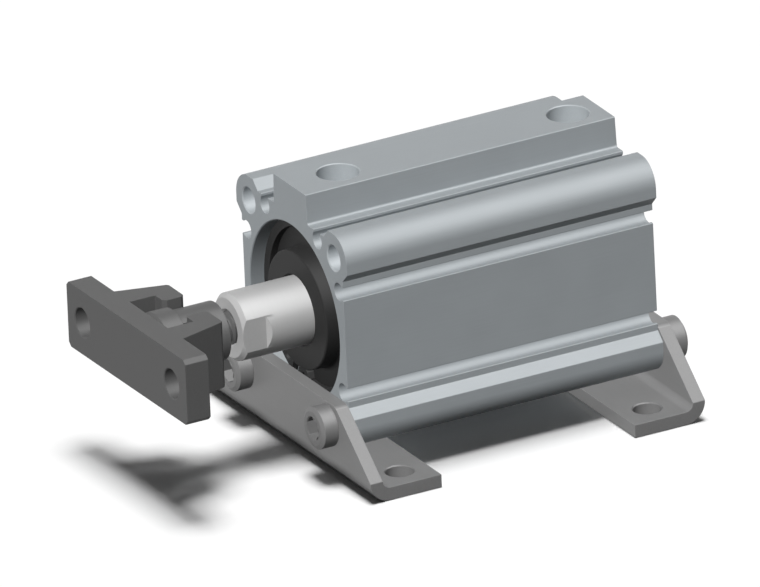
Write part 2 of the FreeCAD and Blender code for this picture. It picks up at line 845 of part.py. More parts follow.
def make_foot(name, station, about):
    """A foot bracket: sheet steel bent inwards under the tube, bolted to its end face."""
    body = new_body(name, station, turn=about, about_z=True)
    sheet, inside = size.foot_thickness, size.foot_inner_radius
    outside = inside + sheet
    base = -size.axis_height
    top = size.foot_top_over_bolt - hole_aside
    bend = base + outside
    toe = size.foot_hole_from_end + size.foot_hole_to_toe
    hole_side = size.foot_hole_pitch / 2
    half = hole_side + size.foot_hole_to_side
    side = new_sketch(body, title(name) + "Bend", "XZ_Plane", -half)
    outline(side, [
        (0, top), (-sheet, top), (-sheet, bend),
        (inside, base, inside, bend, True),
        (toe, base), (toe, base + sheet), (inside, base + sheet),
        (0, bend, inside, bend, False),
    ])
    pad(body, side, half * 2)

    # The upright is cut back to a slope on each side, with its top corner broken.
    corner = hole_aside + size.foot_top_past_bolt
    inner, beyond = corner - size.foot_corner_width, half + OVERCUT
    slope = new_sketch(body, title(name) + "Slope", "YZ_Plane", -(sheet + OVERCUT))
    for way in (1, -1):
        outline(slope, [
            (half * way, bend), (beyond * way, bend), (beyond * way, top + OVERCUT),
            (inner * way, top + OVERCUT), (inner * way, top),
            (corner * way, top - size.foot_corner),
        ])
    pocket(body, slope, sheet + OVERCUT * 2, reverse=True)

    bolts = new_sketch(body, title(name) + "BoltHoles", "YZ_Plane", -sheet)
    circles(bolts, [(hole_aside, -hole_aside), (-hole_aside, -hole_aside)],
            size.tapped_dia / 2 + size.bolt_hole_clearance)
    pocket(body, bolts, sheet, reverse=True)
    floor = new_sketch(body, title(name) + "FloorHoles", "XY_Plane", base)
    circles(floor, [(size.foot_hole_from_end, hole_side), (size.foot_hole_from_end, -hole_side)],
            size.foot_hole_dia / 2)
    pocket(body, floor, sheet, reverse=True)
    return body


def make_bolt(name, aside, rear, turn):
    """A low-head socket bolt that holds a foot bracket to a lower lobe."""
    way = -1 if rear else 1
    station = body_length + size.foot_thickness if rear else -size.foot_thickness
    body = new_body(name, station, aside, -hole_aside, turn=turn)
    head, shank = size.bolt_head_dia / 2, size.tapped_dia / 2 - size.thread_clearance
    face = -size.bolt_head_height
    chamfer, tip = size.bolt_head_chamfer, size.bolt_tip_chamfer
    shoulder = face + size.bolt_head_chamfer_height
    corners = [
        (face, 0), (face, head - chamfer), (shoulder, head), (0, head), (0, shank),
        (size.bolt_length - tip, shank), (size.bolt_length, shank - tip), (size.bolt_length, 0),
    ]
    turned(body, title(name) + "Profile", [(Size.of(x) * way, r) for x, r in corners])
    reach = size.bolt_socket_flats / math.sqrt(3)
    socket = new_sketch(body, title(name) + "Socket", "YZ_Plane", face * way)
    angles = [math.radians(60 * step) for step in range(6)]
    outline(socket, [(reach * math.cos(a), reach * math.sin(a)) for a in angles])
    pocket(body, socket, size.bolt_socket_depth, reverse=not rear)
    # The drilled cone at the socket's bottom
    socket_bottom = face + size.bolt_socket_depth
    drill = size.bolt_socket_drill / 2
    cone = [(socket_bottom, 0), (socket_bottom, drill), (socket_bottom + drill * DRILL_POINT, 0)]
    bored(body, title(name) + "Drill", [(x * way, r) for x, r in cone])
    return body


def make_all():
    """Every sub-part, front to rear."""
    bodies = [
        make_tube(), make_collar(), make_rod_seal(), make_bushing(),
        make_gasket("collar_gasket", collar_groove), make_retaining_ring(), make_bottom_plate(),
        make_gasket("bottom_gasket", bottom_groove), make_rod(), make_piston(), make_wear_ring(),
        make_piston_seal(), make_magnet(),
        make_bumper("front_bumper", piston_front - size.bumper_height, piston_front + size.bumper_depth),
        make_bumper("rear_bumper", piston_rear - size.bumper_depth, piston_rear + size.bumper_height),
        make_joint_stud(), make_bracket(),
        make_foot("front_foot", ZERO, 0.0), make_foot("rear_foot", body_length, 180.0),
    ]
    for place, turn in SOCKET_TURNS.items():
        end, side = place.split("_")
        aside = hole_aside if side == "left" else -hole_aside
        bodies.append(make_bolt(f"{end}_foot_bolt_{side}", aside, end == "rear", turn))
    return bodies


def check(bodies):
    """Stops if any object failed or any sub-part isn't one sound solid."""
    doc.recompute()
    for item in doc.Objects:
        if {"Invalid", "Error"} & set(item.State):
            raise RuntimeError(f"{item.Name} is {item.State}")
    for body in bodies:
        if body.Shape.isNull() or not body.Shape.isValid() or len(body.Shape.Solids) != 1:
            raise RuntimeError(f"{body.Label} isn't one valid solid")


def export(bodies):
    """Writes each sub-part to its own STEP file."""
    os.makedirs("parts", exist_ok=True)
    for body in bodies:
        body.Shape.exportStep(os.path.join("parts", body.Label + ".step"))
        box = body.Shape.BoundBox
        print(f"{body.Label:24s} {body.Shape.Volume:10.1f} mm3  x {box.XMin:7.2f} {box.XMax:7.2f}"
              f"  y {box.YMin:7.2f} {box.YMax:7.2f}  z {box.ZMin:7.2f} {box.ZMax:7.2f}")


all_bodies = make_all()
check(all_bodies)
export(all_bodies)
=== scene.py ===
"""Models and dresses the visible pieces of the compact pneumatic cylinder.

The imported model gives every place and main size. Each piece is modelled in millimetres in
the part's frame, cut and eased, scaled to metres and dressed in the finish of the real one.
The pieces inside the tube keep their solids and only get finishes.
"""

import json
import logging
import math
from collections.abc import Sequence
from dataclasses import dataclass, replace
from enum import Enum

import bmesh
import bpy
from bmesh.types import BMEdge, BMesh, BMVert
from bpy.types import ID, Material, Mesh, Node, NodeSocket, NodeTree, Object, World
from mathutils import Matrix, Vector


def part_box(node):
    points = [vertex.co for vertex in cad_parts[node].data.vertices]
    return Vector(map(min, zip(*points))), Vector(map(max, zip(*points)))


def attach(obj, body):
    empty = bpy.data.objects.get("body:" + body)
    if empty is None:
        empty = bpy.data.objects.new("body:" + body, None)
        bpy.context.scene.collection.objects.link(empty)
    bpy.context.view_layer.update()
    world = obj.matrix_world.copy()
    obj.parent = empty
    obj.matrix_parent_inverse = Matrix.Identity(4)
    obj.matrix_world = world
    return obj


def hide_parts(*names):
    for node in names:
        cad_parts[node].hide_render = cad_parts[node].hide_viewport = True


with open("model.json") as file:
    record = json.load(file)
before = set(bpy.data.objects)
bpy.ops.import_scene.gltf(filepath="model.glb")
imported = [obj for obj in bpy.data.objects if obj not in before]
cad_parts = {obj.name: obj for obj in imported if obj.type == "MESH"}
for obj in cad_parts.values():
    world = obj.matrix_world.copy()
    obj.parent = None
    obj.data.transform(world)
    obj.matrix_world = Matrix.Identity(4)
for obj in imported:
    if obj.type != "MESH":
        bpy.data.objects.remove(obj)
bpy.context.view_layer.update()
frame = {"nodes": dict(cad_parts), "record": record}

LOG = logging.getLogger("compact_cylinder")
MM = 0.001
MICRON = 1e-6
TURN = 2 * math.pi
# A round edge strays at most this far from its true arc, in millimetres.
SAG = 0.008
# Vertices this close are the same one, in millimetres.
WELD = 1e-4
# A cutting tool runs this far past the surface that it cuts, in millimetres.
OVERCUT = 1.0
# Faces that meet at less than this angle shade as one surface.
SMOOTH_BELOW = math.radians(28)
# A broken edge is rounded in this many steps.
EASE_STEPS = 2
# A drilled hole ends in a cone this deep for each millimetre of its radius.
DRILL_POINT = math.tan(math.radians(31))
# A tool that is only there for its cone goes this deep at its full width, in millimetres.
HAIR = 0.01
# Where a thread's ridge leaves the wall, starts and ends its crest and comes back, in pitches.
RIDGE = (0.02, 0.4, 0.52, 0.9)
# The ridge's foot lies this far inside the wall, in millimetres.
RIDGE_SUNK = 0.05
# The number of the finish that a tool leaves on a piece with two finishes.
CUT_FINISH = 1
# Soft clouds in a finish are about this wide, in millimetres.
CLOUD_MM = 9


class Plane(Enum):
    """The plane of the part that an outline (u, v) is drawn in, and where w then points."""

    # u along Y, v along Z, w along X.
    ACROSS = Matrix(((0, 0, 1, 0), (1, 0, 0, 0), (0, 1, 0, 0), (0, 0, 0, 1)))
    # u along X, v along Y, w along Z.
    PLAN = Matrix(((1, 0, 0, 0), (0, 1, 0, 0), (0, 0, 1, 0), (0, 0, 0, 1)))
    # u along X, v along Z, w along -Y.
    SIDE = Matrix(((1, 0, 0, 0), (0, 0, -1, 0), (0, 1, 0, 0), (0, 0, 0, 1)))


def arc_steps(radius: float, angle: float = TURN) -> int:
    """Number of straight edges that keep an arc within its sag."""
    step = 2 * math.acos(1 - SAG / max(radius, 2 * SAG))
    return max(2, 4 * math.ceil(abs(angle) / step / 4))


class Outline:
    """An outline in a plane, drawn from corner to corner in millimetres."""

    def __init__(self, u: float, v: float, ease: float = 0.0) -> None:
        """Starts the outline at its first corner."""
        self.mesh = bmesh.new()
        self.eased: dict[float, list[BMVert]] = {}
        self.first = self.last = self._corner(u, v, ease)

    def _corner(self, u: float, v: float, ease: float) -> BMVert:
        """Adds a corner, and notes the radius that rounds it."""
        corner = self.mesh.verts.new((u, v, 0))
        if ease:
            self.eased.setdefault(ease, []).append(corner)
        return corner

    def to(self, u: float, v: float, ease: float = 0.0) -> "Outline":
        """Draws a straight edge to (u, v), whose corner may be rounded."""
        corner = self._corner(u, v, ease)
        self.mesh.edges.new((self.last, corner))
        self.last = corner
        return self

    def arc(self, u: float, v: float, degrees: float) -> "Outline":
        """Draws an arc about (u, v) from the last corner, counter-clockwise if positive."""
        centre = Vector((u, v, 0))
        angle = math.radians(degrees)
        drawn = bmesh.ops.spin(
            self.mesh, geom=[self.last], cent=centre, axis=(0, 0, 1), angle=angle,
            steps=arc_steps((self.last.co - centre).length, angle))
        self.last = next(item for item in drawn["geom_last"] if isinstance(item, BMVert))
        return self

    def _round_corners(self) -> None:
        """Rounds each noted corner with its radius."""
        for ease, corners in self.eased.items():
            for corner in corners:
                arms = [(edge.other_vert(corner).co - corner.co) for edge in corner.link_edges]
                turn = math.pi - arms[0].angle(arms[1])
                bmesh.ops.bevel(
                    self.mesh, geom=[corner], offset=ease * math.tan(turn / 2), offset_type="OFFSET",
                    affect="VERTICES", segments=arc_steps(ease, turn), profile=0.5, material=-1)

    def prism(self, plane: Plane, low: float, high: float, rim: float = 0.0) -> BMesh:
        """Closes the outline and extrudes it.

        Args:
            plane: The plane that it is drawn in.
            low: Where the solid starts along the plane's normal.
            high: Where it ends.
            rim: The width of the bevel round both ends, or 0 for sharp rims.

        Returns:
            The closed solid, in the part's axes.
        """
        mesh = self.mesh
        mesh.edges.new((self.last, self.first))
        self._round_corners()
        bmesh.ops.translate(mesh, verts=mesh.verts, vec=(0, 0, low))
        cap = bmesh.ops.contextual_create(mesh, geom=mesh.edges[:])["faces"]
        raised = bmesh.ops.extrude_face_region(mesh, geom=cap)["geom"]
        raised = [item for item in raised if isinstance(item, BMVert)]
        bmesh.ops.translate(mesh, verts=raised, vec=(0, 0, high - low))
        bmesh.ops.recalc_face_normals(mesh, faces=mesh.faces)
        if rim:
            rims = [edge for edge in mesh.edges if edge.verts[0].co.z == edge.verts[1].co.z]
            ease_edges(mesh, rims, rim)
        bmesh.ops.transform(mesh, matrix=plane.value, verts=mesh.verts)
        return mesh

    def turned(self, y: float, z: float, closed: bool = False) -> BMesh:
        """Spins the outline, drawn in (x, radius), about an axis along X.

        Args:
            y: The axis' place in Y.
            z: The axis' place in Z.
            closed: Whether the outline is a ring's section, clear of the axis.

        Returns:
            The closed solid, in the part's axes.
        """
        mesh = self.mesh
        if closed:
            mesh.edges.new((self.last, self.first))
        self._round_corners()
        steps = arc_steps(max(vert.co.y for vert in mesh.verts))
        bmesh.ops.spin(mesh, geom=mesh.verts[:] + mesh.edges[:], cent=(0, 0, 0), axis=(1, 0, 0),
                       angle=TURN, steps=steps, use_merge=True)
        bmesh.ops.remove_doubles(mesh, verts=mesh.verts, dist=WELD)
        bmesh.ops.recalc_face_normals(mesh, faces=mesh.faces)
        bmesh.ops.translate(mesh, verts=mesh.verts, vec=(0, y, z))
        return mesh


def ease_edges(mesh: BMesh, edges: list[BMEdge], width: float) -> None:
    """Breaks edges with a small round of that width."""
    bmesh.ops.bevel(mesh, geom=edges, offset=width, offset_type="OFFSET", affect="EDGES",
                    segments=EASE_STEPS, profile=0.5, material=-1, clamp_overlap=True,
                    loop_slide=True)


def ease_sharp(mesh: BMesh, width: float) -> BMesh:
    """Breaks every edge of a solid that is sharper than shading would smooth."""
    sharp = [edge for edge in mesh.edges if edge.calc_face_angle(0) > SMOOTH_BELOW]
    ease_edges(mesh, sharp, width)
    return mesh


def marked(mesh: BMesh, finish: int) -> BMesh:
    """Gives every face of a solid the number of its finish."""
    for face in mesh.faces:
        face.material_index = finish
    return mesh


def stored(name: str, mesh: BMesh) -> Mesh:
    """Puts a solid, used up by this, into a mesh that an object can hold."""
    data = bpy.data.meshes.new(name)
    mesh.to_mesh(data)
    mesh.free()
    return data


def linked(name: str, data: ID) -> Object:
    """Makes an object of a mesh, a lamp or a camera and links it to the scene."""
    item = bpy.data.objects.new(name, data)
    bpy.context.scene.collection.objects.link(item)
    return item


def joined(*meshes: BMesh) -> BMesh:
    """Puts several solids into the first one's mesh."""
    whole = meshes[0]
    for mesh in meshes[1:]:
        data = stored("joined", mesh)
        whole.from_mesh(data)
        bpy.data.meshes.remove(data)
    return whole


def scratch_object(mesh: BMesh, slots: int) -> Object:
    """A short-lived object that holds a mesh for a boolean."""
    item = linked("scratch", stored("scratch", mesh))
    for _ in range(slots):
        item.data.materials.append(None)
    return item


def combined(body: BMesh, tool: BMesh, how: str) -> BMesh:
    """Cuts a tool out of a body, or keeps what they share.

    Args:
        body: The solid that is worked on, used up by this.
        tool: The solid that works on it, used up by this.
        how: DIFFERENCE or INTERSECT.

    Returns:
        The result, whose faces keep the finish of the solid that they came from.
    """
    slots = 1 + max(face.material_index for mesh in (body, tool) for face in mesh.faces)
    worked, worker = scratch_object(body, slots), scratch_object(tool, slots)
    boolean = worked.modifiers.new("boolean", "BOOLEAN")
    boolean.operation, boolean.object = how, worker
    boolean.solver, boolean.material_mode = "EXACT", "INDEX"
    graph = bpy.context.evaluated_depsgraph_get()
    data = bpy.data.meshes.new_from_object(worked.evaluated_get(graph))
    result = bmesh.new()
    result.from_mesh(data)
    bmesh.ops.remove_doubles(result, verts=result.verts, dist=WELD)
    bmesh.ops.dissolve_degenerate(result, dist=WELD, edges=result.edges)
    for item in (worked, worker):
        scratch = item.data
        bpy.data.objects.remove(item)
        bpy.data.meshes.remove(scratch)
    bpy.data.meshes.remove(data)
    return result


def cut(body: BMesh, *tools: BMesh) -> BMesh:
    """Cuts tools that don't touch each other out of a body, in one go."""
    return combined(body, joined(*tools), "DIFFERENCE")


def drill(start: float, end: float, radius: float, mouth: float = 0.0, point: bool = False,
          finish: int = 0) -> BMesh:
    """A drill along X that cuts from a surface at start to a depth at end.

    Args:
        start: Where its hole opens.
        end: Where its full width ends.
        radius: The hole's radius.
        mouth: The width of the chamfer at the opening.
        point: Whether it ends in a drill's cone.
        finish: The finish that it leaves.

    Returns:
        The tool, on the X axis.
    """
    way = 1 if end > start else -1
    tool = Outline(start - way * OVERCUT, 0).to(start - way * OVERCUT, radius + mouth)
    if mouth:
        tool.to(start, radius + mouth).to(start + way * mouth, radius)
    tool.to(end, radius)
    tool.to(end + way * radius * DRILL_POINT if point else end, 0)
    return marked(tool.turned(0, 0), finish)


def moved(mesh: BMesh, x: float = 0.0, y: float = 0.0, z: float = 0.0) -> BMesh:
    """Moves a solid."""
    bmesh.ops.translate(mesh, verts=mesh.verts, vec=(x, y, z))
    return mesh


def pair(tool: BMesh, aside: float, x: float = 0.0, z: float = 0.0) -> list[BMesh]:
    """A tool twice, equally far to the right and left of the part's middle."""
    return [moved(half, x, way * aside, z) for half, way in ((tool.copy(), -1), (tool, 1))]


def spun(mesh: BMesh, axis: str, degrees: float) -> BMesh:
    """Turns a solid about one of the part's axes."""
    turn = Matrix.Rotation(math.radians(degrees), 3, axis)
    bmesh.ops.rotate(mesh, verts=mesh.verts, cent=(0, 0, 0), matrix=turn)
    return mesh


def thread(start: float, end: float, wall: float, crest: float, pitch: float,
           finish: int = 0) -> BMesh:
    """A screw thread's ridge along X, wound from start to end.

    Args:
        start: Where its first turn begins.
        end: Where its last turn ends.
        wall: The radius of the surface that it stands on.
        crest: The radius of its crest, inside or outside the wall.
        pitch: The length of one turn.
        finish: The finish of its faces.

    Returns:
        The closed ridge, on the X axis.
    """
    sunk = wall + math.copysign(RIDGE_SUNK, wall - crest)
    turns = (end - start) / pitch - RIDGE[-1]
    steps = arc_steps(max(wall, crest))
    mesh = bmesh.new()
    section = zip(RIDGE, (sunk, crest, crest, sunk))
    corners = [mesh.verts.new((start + share * pitch, radius, 0)) for share, radius in section]
    for index, corner in enumerate(corners):
        mesh.edges.new((corners[index - 1], corner))
    bmesh.ops.spin(mesh, geom=mesh.verts[:] + mesh.edges[:], cent=(0, 0, 0), axis=(1, 0, 0),
                   dvec=(pitch / steps, 0, 0), angle=TURN * turns, steps=round(steps * turns))
    bmesh.ops.holes_fill(mesh, edges=[edge for edge in mesh.edges if edge.is_boundary], sides=0)
    bmesh.ops.recalc_face_normals(mesh, faces=mesh.faces)
    return marked(mesh, finish)


def linear(hex_colour: str) -> tuple[float, float, float, float]:
    """An sRGB hex colour as the linear colour that a shader takes."""
    parts = [int(hex_colour[index:index + 2], 16) / 255 for index in (1, 3, 5)]
    straight = [part / 12.92 if part <= 0.04045 else ((part + 0.055) / 1.055) ** 2.4 for part in parts]
    return (*straight, 1.0)


def add(tree: NodeTree, kind: str, inputs: dict[str | int, object] | None = None,
        **settings: object) -> Node:
    """Adds a node with its settings, and its inputs as values or links.

    Args:
        tree: The node tree.
        kind: The node's type.
        inputs: A value, or another node's output to link, for each input by name or number.
        settings: The node's own properties.

    Returns:
        The new node.
    """
    node = tree.nodes.new(kind)
    for name, setting in settings.items():
        setattr(node, name, setting)
    for key, value in (inputs or {}).items():
        if isinstance(value, NodeSocket):
            tree.links.new(value, node.inputs[key])
        else:
            node.inputs[key].default_value = value
    return node


def bare_tree(owner: Material | World) -> NodeTree:
    """Switches nodes on, and empties the tree."""
    owner.use_nodes = True
    owner.node_tree.nodes.clear()
    return owner.node_tree


class Grain(Enum):
    """How a surface was made, which gives the direction of its marks."""

    # How fast the marks change along X, Y and Z, or along, away from and round an axis.
    DRAWN = (0.02, 1.0, 1.0)
    ROLLED = (1.0, 0.03, 1.0)
    TURNED = (1.0, 1.0, 0.05)
    EVEN = (1.0, 1.0, 1.0)


@dataclass(frozen=True)
class Finish:
    """A surface: what it is, how it was made, and what that gives the eye.

    grain_mm is the spacing of its marks, contrast how far they change the colour, relief how
    deep they are in micrometres, spread how far they change the roughness, and centre the
    place in Y and Z of the axis that turned marks run round.
    """

    name: str
    colour: str
    metallic: float = 0.0
    roughness: float = 0.5
    grain: Grain = Grain.EVEN
    grain_mm: float = 0.3
    contrast: float = 0.06
    relief: float = 4.0
    spread: float = 0.08
    specular: float = 0.5
    centre: tuple[float, float] = (0.0, 0.0)

    def _marks(self, tree: NodeTree) -> NodeSocket:
        """The marks of the process, from 0 to 1."""
        place = add(tree, "ShaderNodeTexCoord").outputs["Object"]
        if self.grain is Grain.TURNED:
            # Tool marks follow the distance along the axis and the distance from it.
            centred = add(tree, "ShaderNodeMapping", {
                "Vector": place, "Location": (0, -self.centre[0] * MM, -self.centre[1] * MM)})
            parts = add(tree, "ShaderNodeSeparateXYZ", {0: centred.outputs[0]})
            across = add(tree, "ShaderNodeCombineXYZ", {"Y": parts.outputs["Y"], "Z": parts.outputs["Z"]})
            reach = add(tree, "ShaderNodeVectorMath", {0: across.outputs[0]}, operation="LENGTH")
            place = add(tree, "ShaderNodeCombineXYZ", {
                "X": parts.outputs["X"], "Y": reach.outputs["Value"], "Z": parts.outputs["Y"]}).outputs[0]
        stretched = add(tree, "ShaderNodeMapping", {"Vector": place, "Scale": self.grain.value})
        return add(tree, "ShaderNodeTexNoise", {
            "Vector": stretched.outputs[0], "Scale": 1 / (self.grain_mm * MM), "Detail": 3.0,
            "Roughness": 0.6}).outputs["Fac"]

    def material(self) -> Material:
        """The finish as a material, built when it is first asked for."""
        made = bpy.data.materials.get(self.name)
        if made:
            return made
        made = bpy.data.materials.new(self.name)
        tree = bare_tree(made)
        marks = self._marks(tree)
        place = add(tree, "ShaderNodeTexCoord").outputs["Object"]
        # Handling and uneven treatment show as soft clouds.
        clouds = add(tree, "ShaderNodeTexNoise", {
            "Vector": place, "Scale": 1 / (CLOUD_MM * MM), "Detail": 2.0}).outputs["Fac"]
        blend = add(tree, "ShaderNodeMath", {0: marks, 1: clouds}, operation="ADD")
        # Each noise averages 0.5, so this range lies evenly about their sum's average.
        unevenness = {"Value": blend.outputs[0], "From Min": 0.6, "From Max": 1.4}
        tone = add(tree, "ShaderNodeMapRange", {
            **unevenness, "To Min": 1 - self.contrast, "To Max": 1 + self.contrast})
        colour = add(tree, "ShaderNodeVectorMath", {
            0: linear(self.colour)[:3], 1: tone.outputs[0]}, operation="MULTIPLY")
        rough = add(tree, "ShaderNodeMapRange", {
            **unevenness, "To Min": self.roughness - self.spread / 2,
            "To Max": self.roughness + self.spread / 2})
        bump = add(tree, "ShaderNodeBump", {
            "Height": marks, "Strength": 1.0, "Distance": self.relief * MICRON})
        shader = add(tree, "ShaderNodeBsdfPrincipled", {
            "Base Color": colour.outputs[0], "Roughness": rough.outputs[0], "Metallic": self.metallic,
            "Specular IOR Level": self.specular, "Normal": bump.outputs[0]})
        add(tree, "ShaderNodeOutputMaterial", {"Surface": shader.outputs[0]})
        return made


BODY_OF = {node: body for body, nodes in frame["record"]["behaviour"]["bodies"].items() for node in nodes}
SLOT_OF = {row["node"]: row["material_slot"] for row in frame["record"]["subparts"]}


@dataclass(frozen=True)
class Extent:
    """A node's box at rest, in millimetres."""

    low: Vector
    high: Vector

    @classmethod
    def of(cls, node: str) -> "Extent":
        """Reads the box of a node."""
        low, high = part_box(node)
        return cls(low / MM, high / MM)

    @property
    def radius(self) -> float:
        """Half the width, which is the radius of a turned piece."""
        return (self.high.y - self.low.y) / 2

    @property
    def middle(self) -> Vector:
        """The centre."""
        return (self.low + self.high) / 2


AXIS_Z = Extent.of("collar").middle.z
AXIS = (0.0, AXIS_Z)


# Hard anodised aluminium, drawn through a die: satin grey, with fine lines along the tube.
EXTRUDED = Finish(
    "anodised_extrusion", "#8C9194", metallic=0.05, roughness=0.55, grain=Grain.DRAWN,
    grain_mm=0.35, contrast=0.035, relief=3.0, specular=0.2)
# Faced with a large mill whose centre is well off the part: faint arcs across the end.
MILLED = replace(
    EXTRUDED, name="anodised_milled_end", grain=Grain.TURNED, grain_mm=0.5, contrast=0.03,
    relief=2.0, centre=(-70.0, AXIS_Z - 45.0))
# Bored on the tube's axis: rings round the wall are the tool's marks, and its darker colour is painted shade
# inside the bore.
BORED_PAINTED_SHADE = replace(
    MILLED, name="anodised_bore_painted_shade", colour="#7C8184", grain_mm=0.3, contrast=0.05, centre=AXIS)
# Drilled and tapped after the extrusion: a lighter wall with marks in no direction.
TAPPED = replace(
    EXTRUDED, name="anodised_tapped_hole", colour="#9A9FA2", grain=Grain.EVEN, grain_mm=0.3,
    contrast=0.06, relief=4.0)
# The numbers of the tube's finishes after EXTRUDED, the one that its drawn faces keep.
MILLED_END, SHADED_BORE_WALL, TAPPED_WALL = 1, 2, 3
# Black paint over a die casting: an even satin with a slight orange peel.
CAST_BLACK = Finish(
    "black_painted_casting", "#2B2B2B", grain_mm=0.6, contrast=0.08, relief=8.0, specular=0.08)
# Phosphate on spring steel: dark, matt and finely speckled.
PHOSPHATED = Finish(
    "phosphated_spring_steel", "#303030", roughness=0.55, grain_mm=0.35, contrast=0.16,
    relief=5.0, specular=0.08)
# Hard chrome, ground between centres: bright, with fine rings round the rod.
CHROMED = Finish(
    "ground_hard_chrome", "#A6A6A6", metallic=0.05, roughness=0.48, grain=Grain.TURNED,
    contrast=0.03, relief=1.0, specular=0.2, centre=AXIS)
# The same steel where it was milled or tapped before the plating.
CHROMED_MILLED = Finish(
    "milled_hard_chrome", "#A2A2A2", metallic=0.05, roughness=0.48, grain_mm=0.4,
    contrast=0.04, specular=0.2)
# Black oxide on turned steel: dark, with a dull metal gloss.
OXIDE_TURNED = Finish(
    "black_oxide_turned_steel", "#565656", metallic=0.03, roughness=0.48, grain=Grain.TURNED,
    contrast=0.07, relief=2.0, specular=0.12, centre=AXIS)
OXIDE_MILLED = Finish(
    "black_oxide_milled_steel", "#535353", grain_mm=0.45, relief=3.0, specular=0.12)
# Nickel plate on rolled sheet: a soft grey gloss with faint rolling lines.
PLATED_SHEET = Finish(
    "nickel_plated_sheet", "#7A7A7A", metallic=0.05, roughness=0.48, grain=Grain.ROLLED,
    grain_mm=0.4, contrast=0.05, relief=3.0, specular=0.15)
PLATED_EDGE = Finish(
    "nickel_plated_sheared_edge", "#707070", metallic=0.05, grain_mm=0.35, contrast=0.08,
    relief=6.0, specular=0.15)


def dressed(node: str, mesh: BMesh, finishes: Sequence[Finish]) -> Object:
    """Turns a finished solid into the piece that stands for a node.

    Args:
        node: The node that it replaces, whose body it takes.
        mesh: The solid in millimetres, used up by this.
        finishes: The finish for each number that its faces carry.

    Returns:
        The piece, in metres, riding on the node's body.
    """
    bmesh.ops.scale(mesh, vec=(MM, MM, MM), verts=mesh.verts)
    data = stored(f"visible_{node}", mesh)
    piece = linked(f"visible_{node}", data)
    for finish in finishes:
        data.materials.append(finish.material())
    for face in data.polygons:
        face.use_smooth = True
    data.set_sharp_from_angle(angle=SMOOTH_BELOW)
    weighted = piece.modifiers.new("weighted", "WEIGHTED_NORMAL")
    weighted.keep_sharp = True
    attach(piece, BODY_OF[node])
    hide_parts(node)
    LOG.info("%s: %d faces", piece.name, len(data.polygons))
    return piece


